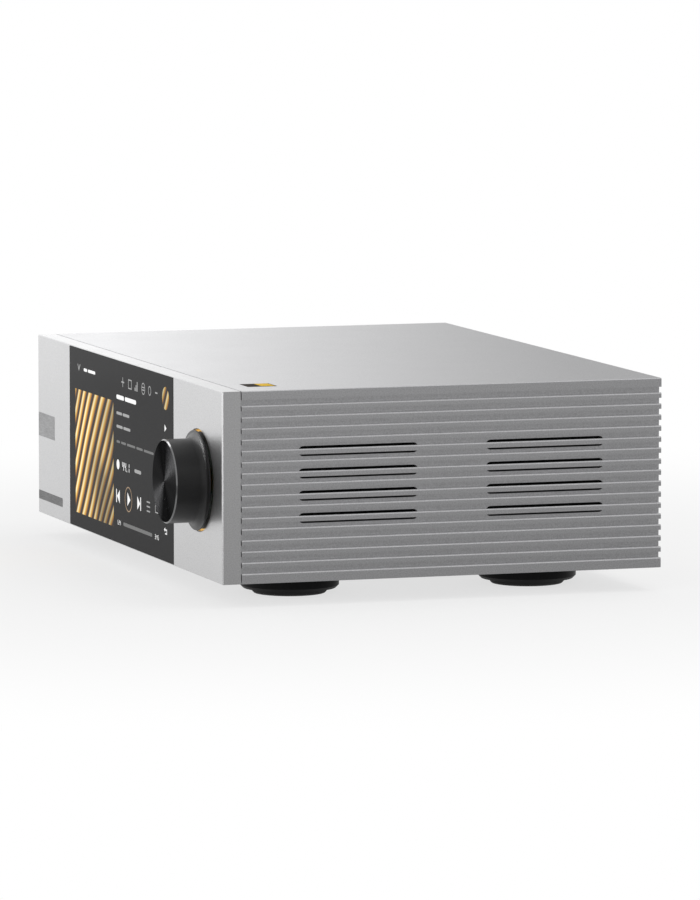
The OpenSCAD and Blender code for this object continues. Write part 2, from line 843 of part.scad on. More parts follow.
// Circuit boards on their spacers
function board_holes(area) = [for (x = [area[0] + board_hole_inset, area[2] - board_hole_inset],
    y = [max(area[1] + board_hole_inset, foot_clear_y), area[3] - area[4]]) [x, y]];

module board(area) {
    difference() {
        block([area[0], area[1], board_z], [area[2], area[3], board_top]);
        for (p = board_holes(area)) rod_z(p[0], p[1], board_z - over, board_top + over, m25[0] + drop_in);
    }
}

// Part standing on a board: its middle, its size and its height
module on_board(x, y, w, d, h) {
    block([x - w / 2, y - d / 2, board_top - over / 2], [x + w / 2, y + d / 2, board_top + h]);
}

module spacers() {
    color("goldenrod") in_frame() for (area = board_areas, p = board_holes(area))
        translate([p[0], p[1], tray_z]) difference() {
            linear_extrude(spacer_h) hexagon(spacer_across);
            translate([0, 0, over]) cylinder(h = spacer_h, r = m25[0] + running);
        }
}

module board_screws() {
    color("silver") in_frame() {
        for (area = board_areas, p = board_holes(area)) translate([p[0], p[1], board_top])
            screw(m25, small_screw_l);
        for (p = bracket_holes()) translate([p[0], bracket_back, p[1]])
            rotate([-90, 0, 0]) screw(m25, small_screw_l - over);
    }
}

module main_board() {
    p = processor_at();
    side = sink_w / 2 + chip_gap;
    color("darkgreen") in_frame() {
        board(main_area);
        on_board(glass_x, main_area[1] + over + socket_d / 2, ribbon_w + 2 * plug_side, socket_d, socket_h);
        for (i = [-1.5:1:1.5])
            on_board(p[0] + side + memory_w / 2, p[1] + i * memory_pitch, memory_w, memory_d, memory_h);
        for (i = [-1:1])
            on_board(p[0] - side - coil_w / 2, p[1] + i * coil_pitch, coil_w, coil_w, coil_h);
    }
}

function processor_at() = [(main_area[0] + main_area[2]) / 2, main_area[1] + sink_in];

module processor() {
    p = processor_at();
    color([0.1, 0.1, 0.1]) in_frame() translate([p[0] - processor_w / 2, p[1] - processor_w / 2, board_top])
        cube([processor_w, processor_w, processor_t]);
}

module heat_sink() {
    p = processor_at();
    fin_step = (sink_w - fin_t) / (fin_count - 1);
    color("gray") in_frame() translate([p[0] - sink_w / 2, p[1] - sink_w / 2, board_top + processor_t]) {
        cube([sink_w, sink_w, sink_base]);
        for (i = [0:fin_count - 1]) translate([i * fin_step, 0, 0]) cube([fin_t, sink_w, sink_h]);
    }
}

module audio_board() {
    cx = (audio_area[0] + audio_area[2]) / 2;
    color("darkgreen") in_frame() {
        board(audio_area);
        on_board(cx, audio_area[1] + converter_in, converter_w, converter_w, converter_h);
        for (s = [-1, 1], i = [0:1]) on_board(cx + s * amplifier_out,
            audio_area[1] + amplifier_in + i * amplifier_pitch, amplifier_w, amplifier_d, amplifier_h);
        for (s = [-1, 1]) on_board(cx + s * (converter_w / 2 + chip_gap), audio_area[1] + converter_in,
            crystal_w, crystal_d, crystal_h);
    }
}

// Can with a rolled groove near its foot
module capacitor(x, y, r, h) {
    groove_top = cap_groove_z + cap_groove_h;
    translate([x, y, board_top]) rotate_extrude() polygon([[0, 0], [r, 0], [r, cap_groove_z],
        [r - cap_groove_in, (cap_groove_z + groove_top) / 2], [r, groove_top], [r, h - cap_edge],
        [r - cap_edge, h], [0, h]]);
}

module audio_capacitors() {
    cx = (audio_area[0] + audio_area[2]) / 2;
    color([0.15, 0.2, 0.45]) in_frame() for (ix = [-2:2], iy = [0:1])
        capacitor(cx + ix * audio_cap_pitch, audio_area[1] + audio_cap_in + iy * audio_cap_pitch,
            audio_cap_r, audio_cap_h);
}

module supply_board() {
    right = supply_area[2] - board_hole_inset;
    left = supply_area[0] + board_hole_inset;
    color("darkgreen") in_frame() {
        board(supply_area);
        on_board(right - fuse_w / 2, supply_area[1] + filter_in, fuse_w, fuse_d, fuse_h);
        on_board(left + filter_w / 2, supply_area[1] + filter_in, filter_w, filter_d, filter_h);
    }
}

module supply_transformer() {
    x = (supply_area[0] + supply_area[2]) / 2;
    color("khaki") in_frame() translate([x, supply_area[1] + transformer_in, board_top]) {
        block([-bobbin_w / 2, -bobbin_d / 2, 0], [bobbin_w / 2, bobbin_d / 2, bobbin_h]);
        block([-winding_w / 2, -winding_w / 2, 0], [winding_w / 2, winding_w / 2, bobbin_h + winding_h]);
        block([-bobbin_w / 2, -core_d / 2, 0], [bobbin_w / 2, core_d / 2, core_h]);
    }
}

module supply_capacitors() {
    x = (supply_area[0] + supply_area[2]) / 2;
    color([0.1, 0.1, 0.12]) in_frame() for (s = [-1, 1])
        capacitor(x + s * (supply_cap_r + supply_cap_gap / 2), supply_area[1] + supply_cap_in,
            supply_cap_r, supply_cap_h);
}

// Upright board that carries the small round and square jacks
module jack_board() {
    back = rear_in - jack_depth;
    color("darkgreen") in_frame()
        block([optical_x - jack_margin, back - board_t, lower_z - jack_margin],
            [rca_x + jack_margin, back, upper_z + jack_margin]);
}

module xlr(x) {
    floor_y = rear_y + xlr_flange[2] - xlr_bore_depth;
    color([0.15, 0.15, 0.15]) in_frame() {
        difference() {
            union() {
                rod_y(x, xlr_z, rear_y - xlr_depth, rear_y + over, xlr_r);
                translate([x, 0, xlr_z]) along_y(rear_y, rear_y + xlr_flange[2])
                    rounded(xlr_flange[0], xlr_flange[1], xlr_corner);
            }
            rod_y(x, xlr_z, floor_y, rear_y + xlr_flange[2] + over, xlr_bore_r);
            for (s = [-1, 1]) rod_y(x + s * xlr_screw[0], xlr_z + s * xlr_screw[1], rear_y - over,
                rear_y + xlr_flange[2] + over, m3[0] + drop_in);
        }
        for (a = [90, 210, 330]) rod_y(x + xlr_pin_ring * cos(a), xlr_z - xlr_pin_ring * sin(a),
            floor_y - over, floor_y + xlr_pin_l, xlr_pin_r);
    }
}

module xlr_left() { xlr(xlr_x[0]); }
module xlr_right() { xlr(xlr_x[1]); }

// Round phono jack with its shoulder inside the panel and its collar outside
module phono(x, z, tint) {
    color(tint) in_frame() difference() {
        union() {
            translate([x, 0, z]) along_y(rear_in - jack_depth, rear_in) square(phono_block, center = true);
            rod_y(x, z, rear_in - over, rear_y + over, rca_neck_r);
            rod_y(x, z, rear_y, rear_y + rca_collar_t, rca_collar_r);
            rod_y(x, z, rear_y, jack_y, rca_r);
        }
        rod_y(x, z, jack_y - phono_mouth, jack_y + over, rca_r - phono_wall);
        rod_y(x, z, rear_in - phono_pin_in, jack_y, phono_pin_r);
    }
}

module rca_left() { phono(rca_x, upper_z, "gold"); }
module rca_right() { phono(rca_x, lower_z, "gold"); }
module coax_out() { phono(coax_x, upper_z, "darkorange"); }
module coax_in() { phono(coax_x, lower_z, "darkorange"); }

// Square optical socket with a hinged shutter in its mouth
optical_y = rear_y + socket_out;
shutter_y = optical_y - shutter_pin_in;

function shutter_z(z) = z + optical_bore / 2 - shutter_pin_drop;

module optical(z) {
    pin_half = optical_bore / 2 + shutter_pin_l + drop_in;
    color([0.08, 0.08, 0.08]) in_frame() difference() {
        union() {
            translate([optical_x, 0, z]) along_y(rear_in - jack_depth, rear_in)
                square(optical_shoulder, center = true);
            translate([optical_x, 0, z]) along_y(rear_in - over, optical_y)
                square(optical_w, center = true);
        }
        translate([optical_x, 0, z]) along_y(optical_y - optical_depth, optical_y + over)
            square(optical_bore, center = true);
        rod_x(shutter_y, shutter_z(z), optical_x - pin_half, optical_x + pin_half,
            shutter_pin_r + running);
    }
}

module shutter(z) {
    half = optical_bore / 2 - drop_in;
    pin_half = optical_bore / 2 + shutter_pin_l;
    color([0.16, 0.16, 0.17]) in_frame() {
        block([optical_x - half, shutter_y - shutter_t / 2, z - half + drop_in],
            [optical_x + half, shutter_y + shutter_t / 2, shutter_z(z) + shutter_pin_r]);
        rod_x(shutter_y, shutter_z(z), optical_x - pin_half, optical_x + pin_half, shutter_pin_r);
    }
}

module optical_out() { optical(upper_z); }
module optical_in() { optical(lower_z); }
module shutter_out() { shutter(upper_z); }
module shutter_in() { shutter(lower_z); }

// Sockets that stand on the main board: size is [width, height, depth]
module board_socket(x, size) {
    translate([x, 0, board_top])
        block([-size[0] / 2, optical_y - size[2], 0], [size[0] / 2, optical_y, size[1]]);
}

// Cut or tongue in such a socket, from in behind its mouth
module in_socket(x, up, size, from) {
    translate([x, optical_y, board_top + up])
        block([-size[0] / 2, -size[2], 0], [size[0] / 2, -from, size[1]]);
}

module network_socket() {
    key_z = network_sill - network_key[1];
    color("silver") in_frame() difference() {
        board_socket(network_x, network_size);
        in_socket(network_x, network_sill, network_mouth, -over);
        in_socket(network_x, key_z, [network_key[0], network_mouth[1], network_mouth[2]], -over);
    }
}

module usb_sockets() {
    behind = usb_mouth[2] + over;
    color("silver") in_frame() {
        difference() {
            board_socket(usb_x, usb_size);
            for (i = [0, 1]) in_socket(usb_x, usb_sill + i * usb_pitch, usb_mouth, -over);
        }
        for (i = [0, 1]) in_socket(usb_x, usb_sill + usb_tongue_up + i * usb_pitch,
            [usb_tongue[0], usb_tongue[1], behind], usb_mouth[2] - usb_tongue[2]);
    }
}

module video_socket() {
    wide = video_mouth[0] / 2;
    foot = video_foot_w / 2;
    behind = video_mouth[2] + over;
    color("silver") in_frame() {
        difference() {
            board_socket(video_x, video_size);
            translate([video_x, 0, board_top]) along_y(optical_y - video_mouth[2], optical_y + over)
                polygon([[-foot, video_sill], [foot, video_sill], [wide, video_shoulder],
                    [wide, video_mouth[1]], [-wide, video_mouth[1]], [-wide, video_shoulder]]);
        }
        in_socket(video_x, video_tongue_up, [video_tongue[0], video_tongue[1], behind],
            video_mouth[2] - video_tongue[2]);
    }
}

// Threaded antenna socket
module antenna(x) {
    color("gold") in_frame() difference() {
        union() {
            translate([x, 0, antenna_z]) along_y(rear_in - antenna_block, rear_in)
                square(antenna_nut, center = true);
            rod_y(x, antenna_z, rear_in - over, jack_y, antenna_r);
            translate([x, 0, antenna_z]) along_y(rear_y, rear_y + antenna_nut_t) hexagon(antenna_nut);
        }
        rod_y(x, antenna_z, jack_y - antenna_bore, jack_y + over, antenna_bore_r);
    }
}

module antenna_left() { antenna(video_x); }
module antenna_right() { antenna(network_x); }

// Three-blade mains inlet
module inlet_mouth() {
    w = inlet_mouth_w / 2;
    h = inlet_mouth_h / 2;
    c = inlet_mouth_cut;
    polygon([[-w, -h], [w, -h], [w, h - c], [w - c, h], [c - w, h], [-w, h - c]]);
}

module mains_inlet() {
    out = rear_y + inlet_flange[2];
    floor_y = out - inlet_depth;
    tip_y = floor_y + blade_l;
    color([0.09, 0.09, 0.09]) in_frame() translate([inlet_x, 0, inlet_z]) {
        difference() {
            union() {
                along_y(rear_y, out) rounded(inlet_flange[0], inlet_flange[1], inlet_corner);
                along_y(rear_y - inlet_body[2], rear_y + over)
                    square([inlet_body[0], inlet_body[1]], center = true);
            }
            along_y(floor_y, out + over) inlet_mouth();
        }
        for (s = [-1, 1]) translate([s * blade_x, 0, 0])
            block([-blade_w / 2, floor_y - over, -blade_h], [blade_w / 2, tip_y, 0]);
        block([-blade_w / 2, floor_y - over, blade_split], [blade_w / 2, tip_y, blade_split + blade_h]);
    }
}

// Power switch: housing and rocker on its pivot pin
switch_out = rear_y + switch_flange[2];
rocker_y = switch_out - rocker_in;

module switch_housing() {
    pin_half = rocker_w / 2 + loose + rocker_pin_l + drop_in;
    color([0.09, 0.09, 0.09]) in_frame() translate([inlet_x, 0, switch_z]) difference() {
        union() {
            along_y(rear_y, switch_out) rounded(switch_flange[0], switch_flange[1], switch_corner);
            along_y(rear_y - switch_body[2], rear_y + over)
                square([switch_body[0], switch_body[1]], center = true);
        }
        along_y(rocker_y - rocker_well, switch_out + over)
            square([rocker_w + 2 * loose, rocker_h + 2 * rocker_room], center = true);
        rod_x(rocker_y, 0, -pin_half, pin_half, rocker_pin_r + running);
    }
}

module rocker() {
    half_h = rocker_h / 2;
    back_h = half_h - rocker_taper;
    pin_half = rocker_w / 2 + loose + rocker_pin_l;
    color([0.07, 0.07, 0.07]) in_frame() translate([inlet_x, rocker_y, switch_z])
    rotate([-rocker_tilt, 0, 0]) {
        along_x(-rocker_w / 2, rocker_w / 2) polygon([[-rocker_back, -back_h], [rocker_horn, -half_h],
            [rocker_dip, 0], [rocker_horn, half_h], [-rocker_back, back_h]]);
        rod_x(0, 0, -pin_half, pin_half, rocker_pin_r);
    }
}

casing();
front_panel();
rear_panel();
bottom_tray();
case_screws();
display_glass();
display_module();
display_bracket();
display_board();
display_ribbon();
light_ring();
ring_board();
encoder_body();
encoder_nut();
encoder_board();
push_plunger();
encoder_shaft();
knob();
knob_set_screw();
foot_front_left();
foot_front_right();
foot_rear_left();
foot_rear_right();
pad_front_left();
pad_front_right();
pad_rear_left();
pad_rear_right();
foot_screws();
foot_nuts();
main_board();
processor();
heat_sink();
audio_board();
audio_capacitors();
supply_board();
supply_transformer();
supply_capacitors();
spacers();
board_screws();
jack_board();
xlr_left();
xlr_right();
rca_left();
rca_right();
coax_in();
coax_out();
optical_in();
optical_out();
shutter_in();
shutter_out();
network_socket();
usb_sockets();
video_socket();
antenna_left();
antenna_right();
mains_inlet();
switch_housing();
rocker();
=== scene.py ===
"""Network music streamer: camera, light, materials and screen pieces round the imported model."""
import json
import math

import bmesh
import bpy
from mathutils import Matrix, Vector


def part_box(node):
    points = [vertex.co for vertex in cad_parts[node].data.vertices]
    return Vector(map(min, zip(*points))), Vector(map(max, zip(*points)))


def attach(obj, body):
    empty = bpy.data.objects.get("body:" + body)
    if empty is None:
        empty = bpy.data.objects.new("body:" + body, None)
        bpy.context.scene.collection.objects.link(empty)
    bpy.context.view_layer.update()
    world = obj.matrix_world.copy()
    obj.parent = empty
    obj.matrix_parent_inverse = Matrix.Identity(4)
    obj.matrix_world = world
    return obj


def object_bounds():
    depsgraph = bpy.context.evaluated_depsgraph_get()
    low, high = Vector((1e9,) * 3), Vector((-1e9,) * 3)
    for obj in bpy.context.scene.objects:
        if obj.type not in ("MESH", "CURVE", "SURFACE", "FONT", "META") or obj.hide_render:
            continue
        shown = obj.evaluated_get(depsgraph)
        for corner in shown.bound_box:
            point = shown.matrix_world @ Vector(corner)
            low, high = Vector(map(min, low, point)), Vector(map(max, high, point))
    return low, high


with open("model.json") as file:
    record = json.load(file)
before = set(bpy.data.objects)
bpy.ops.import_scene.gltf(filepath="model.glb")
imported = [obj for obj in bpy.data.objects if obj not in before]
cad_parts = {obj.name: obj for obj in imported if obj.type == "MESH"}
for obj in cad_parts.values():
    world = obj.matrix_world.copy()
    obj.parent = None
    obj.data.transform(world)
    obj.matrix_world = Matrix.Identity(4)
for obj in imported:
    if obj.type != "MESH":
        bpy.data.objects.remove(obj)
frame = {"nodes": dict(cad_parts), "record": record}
cad_low, cad_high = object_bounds()

MM = 0.001
panel_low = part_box("front_panel")[0]
casing_low, casing_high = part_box("casing")
glass_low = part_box("display_glass")[0]
knob_low, knob_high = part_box("knob")
knob_middle = (knob_low + knob_high) / 2
middle_x = (casing_low.x + casing_high.x) / 2
front_y = panel_low.y
base_z = casing_low.z


def at(x, y, z):
    """A point in metres, from mm right of the middle, behind the front and above the casing's base."""
    return Vector((middle_x + x * MM, front_y + y * MM, base_z + z * MM))


def add_object(name, data):
    """A new object in the scene, at the origin."""
    made = bpy.data.objects.new(name, data)
    bpy.context.scene.collection.objects.link(made)
    return made


# Camera, at the photograph's viewing angle; its place is in mm, as for at()
PHOTO_WIDTH = 700
PHOTO_HEIGHT = 900
FOCAL_PIXELS = 7024.3
SENSOR_WIDTH = 36.0
CAMERA_PLACE = (2794.1, -823.7, 350.6)
CAMERA_YAW = math.radians(-71.74)
CAMERA_PITCH = math.radians(-6.0767)

camera_data = bpy.data.cameras.new("camera")
camera_data.sensor_fit = "AUTO"
camera_data.sensor_width = SENSOR_WIDTH
camera_data.lens = FOCAL_PIXELS * SENSOR_WIDTH / max(PHOTO_WIDTH, PHOTO_HEIGHT)
camera = add_object("camera", camera_data)
camera.location = at(*CAMERA_PLACE)
look = Vector((
    math.sin(CAMERA_YAW) * math.cos(CAMERA_PITCH),
    math.cos(CAMERA_YAW) * math.cos(CAMERA_PITCH),
    math.sin(CAMERA_PITCH),
))
camera.rotation_euler = look.to_track_quat("-Z", "Y").to_euler()
bpy.context.scene.camera = camera
bpy.context.scene.view_settings.view_transform = "Standard"


# Shader helpers: most of a noise lies between NOISE_LOW and NOISE_HIGH, and its colours turn from
# dark to pale between GRAIN_LOW and GRAIN_HIGH
EVEN = (1.0, 1.0, 1.0)
NOISE_LOW = 0.25
NOISE_HIGH = 0.75
GRAIN_LOW = 0.3
GRAIN_HIGH = 0.7
GRAINS_IN_CLOUD = 40
BUMP_STRENGTH = 0.3
USUAL_SPECULAR = 0.5


def new_material(name):
    """A new material, its node tree and its main shader."""
    made = bpy.data.materials.new(name)
    made.use_nodes = True
    return made, made.node_tree, made.node_tree.nodes["Principled BSDF"]


def empty_material(name):
    """A new material, its node tree and its output, with no shader yet."""
    made = bpy.data.materials.new(name)
    made.use_nodes = True
    made.node_tree.nodes.clear()
    return made, made.node_tree, made.node_tree.nodes.new("ShaderNodeOutputMaterial")


def operation(tree, kind, name):
    """A maths node of a kind, set to an operation."""
    node = tree.nodes.new(kind)
    node.operation = name
    return node


def object_place(tree, size, stretch=EVEN):
    """The object's own coordinates, in units of size metres."""
    where = tree.nodes.new("ShaderNodeTexCoord")
    scaled = tree.nodes.new("ShaderNodeMapping")
    scaled.inputs["Scale"].default_value = [part / size for part in stretch]
    tree.links.new(where.outputs["Object"], scaled.inputs["Vector"])
    return scaled.outputs["Vector"]


def noise(tree, size, detail=2.0, stretch=EVEN):
    """Grey noise whose grains are about size metres across."""
    node = tree.nodes.new("ShaderNodeTexNoise")
    node.inputs["Scale"].default_value = 1.0
    node.inputs["Detail"].default_value = detail
    tree.links.new(object_place(tree, size, stretch), node.inputs["Vector"])
    return node.outputs["Fac"]


def tones(tree, value, stops):
    """A colour ramp over value; stops are pairs of place and colour."""
    node = tree.nodes.new("ShaderNodeValToRGB")
    ramp = node.color_ramp
    while len(ramp.elements) < len(stops):
        ramp.elements.new(0.5)
    for element, (place, colour) in zip(ramp.elements, stops):
        element.position = place
        element.color = (*colour, 1.0)
    tree.links.new(value, node.inputs["Fac"])
    return node.outputs["Color"]


def remapped(tree, value, start, end, low=0.0, high=1.0, interpolation="LINEAR"):
    """Value from start..end to low..high, held at its ends."""
    node = tree.nodes.new("ShaderNodeMapRange")
    node.interpolation_type = interpolation
    node.inputs["From Min"].default_value = start
    node.inputs["From Max"].default_value = end
    node.inputs["To Min"].default_value = low
    node.inputs["To Max"].default_value = high
    tree.links.new(value, node.inputs["Value"])
    return node.outputs["Result"]


def spread(tree, value, low, high):
    """A noise spread over low..high."""
    return remapped(tree, value, NOISE_LOW, NOISE_HIGH, low, high)


def relief(tree, shader, value, depth):
    """A bump of depth metres on the shader's normal."""
    node = tree.nodes.new("ShaderNodeBump")
    node.inputs["Strength"].default_value = BUMP_STRENGTH
    node.inputs["Distance"].default_value = depth
    tree.links.new(value, node.inputs["Height"])
    tree.links.new(node.outputs["Normal"], shader.inputs["Normal"])


def shade(colour, factor):
    """A colour made darker or paler, up to white."""
    return tuple(min(1.0, part * factor) for part in colour)


def grained(name, colour, rough, metal, grain, vary, bump, stretch=EVEN, rough_vary=0.05,
            specular=USUAL_SPECULAR):
    """A material whose colour, roughness and surface vary with a fine grain; grain and bump are in mm."""
    made, tree, shader = new_material(name)
    size = grain * MM
    fine = noise(tree, size, stretch=stretch)
    stops = ((GRAIN_LOW, shade(colour, 1.0 - vary)), (GRAIN_HIGH, shade(colour, 1.0 + vary)))
    tree.links.new(tones(tree, fine, stops), shader.inputs["Base Color"])
    cloud = noise(tree, GRAINS_IN_CLOUD * size)
    rough_cloud = spread(tree, cloud, rough - rough_vary, rough + rough_vary)
    tree.links.new(rough_cloud, shader.inputs["Roughness"])
    shader.inputs["Metallic"].default_value = metal
    shader.inputs["Specular IOR Level"].default_value = specular
    if bump:
        relief(tree, shader, fine, bump * MM)
    return made


def from_knob_axis(tree):
    """Distance from the knob's axis, in metres."""
    where = tree.nodes.new("ShaderNodeTexCoord")
    flat = operation(tree, "ShaderNodeVectorMath", "MULTIPLY")
    flat.inputs[1].default_value = (1.0, 0.0, 1.0)
    radius = operation(tree, "ShaderNodeVectorMath", "DISTANCE")
    radius.inputs[1].default_value = (knob_middle.x, 0.0, knob_middle.z)
    tree.links.new(where.outputs["Object"], flat.inputs[0])
    tree.links.new(flat.outputs["Vector"], radius.inputs[0])
    return radius.outputs["Value"]


# Ring round the knob: black, with a lit outer edge between two radii
RING_LIT_FROM = 19.5 * MM
RING_LIT_FULL = 19.9 * MM
RING_BASE = ((0.0, (0.012, 0.010, 0.008)), (1.0, (0.80, 0.50, 0.10)))
RING_GLOW = ((0.0, (0.0, 0.0, 0.0)), (1.0, (1.0, 0.55, 0.10)))
RING_STRENGTH = 0.6
RING_ROUGH = 0.4


def ring_light():
    """Black ring whose outer edge is lit."""
    made, tree, shader = new_material("amber_light")
    lit_edge = remapped(tree, from_knob_axis(tree), RING_LIT_FROM, RING_LIT_FULL)
    tree.links.new(tones(tree, lit_edge, RING_BASE), shader.inputs["Base Color"])
    tree.links.new(tones(tree, lit_edge, RING_GLOW), shader.inputs["Emission Color"])
    shader.inputs["Emission Strength"].default_value = RING_STRENGTH
    shader.inputs["Roughness"].default_value = RING_ROUGH
    return made


# Finishes: colour, roughness, metal, grain in mm, how far the colour varies, bump in mm.
# First the record's material slots, then the knob's cut edge and the plates.
FINISHES = {
    "silver_casing": ((0.55, 0.55, 0.56), 0.33, 1.0, 0.5, 0.13, 0.045),
    "silver_panel": ((0.59, 0.59, 0.595), 0.33, 1.0, 0.5, 0.10, 0.04),
    "silver_rear": ((0.54, 0.54, 0.55), 0.34, 1.0, 0.5, 0.13, 0.045),
    "grey_sheet": ((0.32, 0.32, 0.33), 0.5, 0.6, 0.6, 0.08, 0.03),
    "zinc_sheet": ((0.5, 0.5, 0.5), 0.38, 1.0, 3.0, 0.12, 0.01),
    "black_screw": ((0.03, 0.03, 0.032), 0.35, 0.7, 0.3, 0.2, 0.01),
    "steel": ((0.55, 0.55, 0.54), 0.3, 1.0, 0.5, 0.08, 0.01),
    "display_unit": ((0.05, 0.05, 0.055), 0.5, 0.2, 0.6, 0.1, 0.01),
    "circuit_board": ((0.015, 0.09, 0.05), 0.45, 0.0, 1.2, 0.3, 0.02),
    "ribbon": ((0.75, 0.74, 0.70), 0.5, 0.0, 0.6, 0.08, 0.01),
    "black_plastic": ((0.022, 0.022, 0.024), 0.5, 0.0, 0.35, 0.2, 0.03),
    "white_plastic": ((0.72, 0.72, 0.69), 0.45, 0.0, 0.4, 0.04, 0.02),
    "shutter_plastic": ((0.03, 0.03, 0.033), 0.42, 0.0, 0.3, 0.2, 0.02),
    "rocker_plastic": ((0.02, 0.02, 0.022), 0.32, 0.0, 0.4, 0.2, 0.02),
    "foot_black": ((0.004, 0.004, 0.0045), 0.5, 0.0, 0.35, 0.25, 0.03),
    "pad_rubber": ((0.012, 0.012, 0.012), 0.75, 0.0, 0.5, 0.3, 0.05),
    "brass_nut": ((0.66, 0.47, 0.2), 0.3, 1.0, 0.4, 0.08, 0.01),
    "sink_black": ((0.025, 0.025, 0.027), 0.45, 0.5, 0.4, 0.2, 0.02),
    "capacitor_blue": ((0.03, 0.07, 0.25), 0.4, 0.0, 0.8, 0.12, 0.01),
    "capacitor_black": ((0.03, 0.03, 0.035), 0.35, 0.0, 0.8, 0.15, 0.01),
    "transformer": ((0.45, 0.33, 0.08), 0.5, 0.0, 0.5, 0.12, 0.02),
    "xlr_black": ((0.02, 0.02, 0.021), 0.4, 0.2, 0.35, 0.2, 0.02),
    "gold_jack": ((0.83, 0.6, 0.25), 0.22, 1.0, 0.4, 0.06, 0.005),
    "tin_shell": ((0.62, 0.61, 0.59), 0.28, 1.0, 1.5, 0.06, 0.01),
    "black_knob": ((0.012, 0.012, 0.0125), 0.36, 0.0, 0.3, 0.2, 0.01),
    "cover_glass": ((0.024, 0.024, 0.025), 0.13, 0.0, 2.0, 0.03, 0.0),
    "bright_cut_edge": ((0.17, 0.17, 0.172), 0.2, 1.0, 0.4, 0.04, 0.0),
    "plate_pale": ((0.30, 0.30, 0.305), 0.4, 1.0, 0.4, 0.2, 0.01),
    "plate_dark": ((0.13, 0.13, 0.132), 0.4, 1.0, 0.4, 0.25, 0.01),
    "foil_gold": ((0.80, 0.50, 0.02), 0.6, 0.0, 0.5, 0.1, 0.0),
    "foil_dark": ((0.02, 0.012, 0.006), 0.6, 0.0, 0.5, 0.2, 0.0),
}

# What some finishes have beside: an evener roughness, a grain drawn out along an axis, or less gloss
FINISH_EXTRAS = {
    "silver_casing": {"rough_vary": 0.015},
    "silver_panel": {"rough_vary": 0.015},
    "silver_rear": {"rough_vary": 0.015},
    "ribbon": {"stretch": (1.0, 0.1, 0.1)},
    "foot_black": {"specular": 0.12},
    "black_knob": {"specular": 0.3},
    "cover_glass": {"specular": 0.013},
    "plate_pale": {"stretch": (0.15, 1.0, 1.0)},
    "plate_dark": {"stretch": (0.15, 1.0, 1.0)},
    "foil_gold": {"specular": 0.05},
    "foil_dark": {"specular": 0.03},
}

finish = {name: grained(name, *row, **FINISH_EXTRAS.get(name, {})) for name, row in FINISHES.items()}
finish["amber_light"] = ring_light()

slot_of = {part["node"]: part["material_slot"] for part in frame["record"]["subparts"]}
for name, node in frame["nodes"].items():
    node.data.materials.clear()
    node.data.materials.append(finish[slot_of[name]])


# Knob: spun front face and a bright cut edge, chosen by how far behind the knob's front a face lies
SPUN_PITCH = 0.25 * MM
SPUN_TONES = ((GRAIN_LOW, (0.022, 0.022, 0.0225)), (GRAIN_HIGH, (0.038, 0.038, 0.039)))
SPUN_TINT = (0.35, 0.35, 0.35, 1.0)
SPUN_ROUGH = 0.45
QUARTER_TURN = 0.25
FACE_INDEX = 1
EDGE_INDEX = 2
FACE_REACH = 0.01 * MM
EDGE_REACH = 0.7 * MM
EDGE_TILT = 0.3


def spun_material():
    """Dark metal with fine turning marks round the knob's axis."""
    made, tree, shader = new_material("knob_spun_face")
    rings = tree.nodes.new("ShaderNodeTexNoise")
    rings.inputs["Scale"].default_value = 1.0
    spin = operation(tree, "ShaderNodeMath", "MULTIPLY")
    spin.inputs[1].default_value = 1.0 / SPUN_PITCH
    place = tree.nodes.new("ShaderNodeCombineXYZ")
    tree.links.new(from_knob_axis(tree), spin.inputs[0])
    tree.links.new(spin.outputs["Value"], place.inputs["X"])
    tree.links.new(place.outputs["Vector"], rings.inputs["Vector"])
    tree.links.new(tones(tree, rings.outputs["Fac"], SPUN_TONES), shader.inputs["Base Color"])
    shader.inputs["Metallic"].default_value = 1.0
    shader.inputs["Specular Tint"].default_value = SPUN_TINT
    shader.inputs["Roughness"].default_value = SPUN_ROUGH
    shader.inputs["Anisotropic"].default_value = 1.0
    shader.inputs["Anisotropic Rotation"].default_value = QUARTER_TURN
    tangent = tree.nodes.new("ShaderNodeTangent")
    tangent.direction_type = "RADIAL"
    tangent.axis = "Y"
    tree.links.new(tangent.outputs["Tangent"], shader.inputs["Tangent"])
    return made


knob = frame["nodes"]["knob"]
knob.data.materials.append(spun_material())
knob.data.materials.append(finish["bright_cut_edge"])
for face in knob.data.polygons:
    if face.center.y < knob_low.y + FACE_REACH:
        face.material_index = FACE_INDEX
    elif face.center.y < knob_low.y + EDGE_REACH and abs(face.normal.y) > EDGE_TILT:
        face.material_index = EDGE_INDEX


# Sockets: black plastic inside their mouths, and bright pins, chosen by how far a face lies from
# the socket's walls, rim and axis
MOUTH_WALL = 0.2 * MM
MOUTH_RIM = 0.3 * MM
PHONO_BORE = 3.6 * MM
FACING_BACK = 0.5
PIN_FLOOR = 14.8 * MM
XLR_PINS = 5.2 * MM
BLADES_ACROSS = 8.5 * MM
BLADES_UP = 6.0 * MM


def repaint(node_name, slot, chosen):
    """Another slot's finish on the faces of a node that chosen picks, by face and by the node's corners."""
    mesh = frame["nodes"][node_name].data
    mesh.materials.append(finish[slot])
    low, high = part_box(node_name)
    for face in mesh.polygons:
        if low.y + MOUTH_RIM < face.center.y < high.y - MOUTH_RIM and chosen(face, low, high):
            face.material_index = len(mesh.materials) - 1


def off_axis(face, low, high):
    """Distances from the middle of a socket, across and up."""
    axis = (low + high) / 2
    return abs(face.center.x - axis.x), abs(face.center.z - axis.z)


def in_mouth(face, low, high):
    """True inside a shell, for a face off the outer walls."""
    inside_x = low.x + MOUTH_WALL < face.center.x < high.x - MOUTH_WALL
    inside_z = low.z + MOUTH_WALL < face.center.z < high.z - MOUTH_WALL
    return inside_x and inside_z


def in_bore(face, low, high):
    """True on the floor of a round mouth."""
    return face.normal.y > FACING_BACK and math.hypot(*off_axis(face, low, high)) < PHONO_BORE


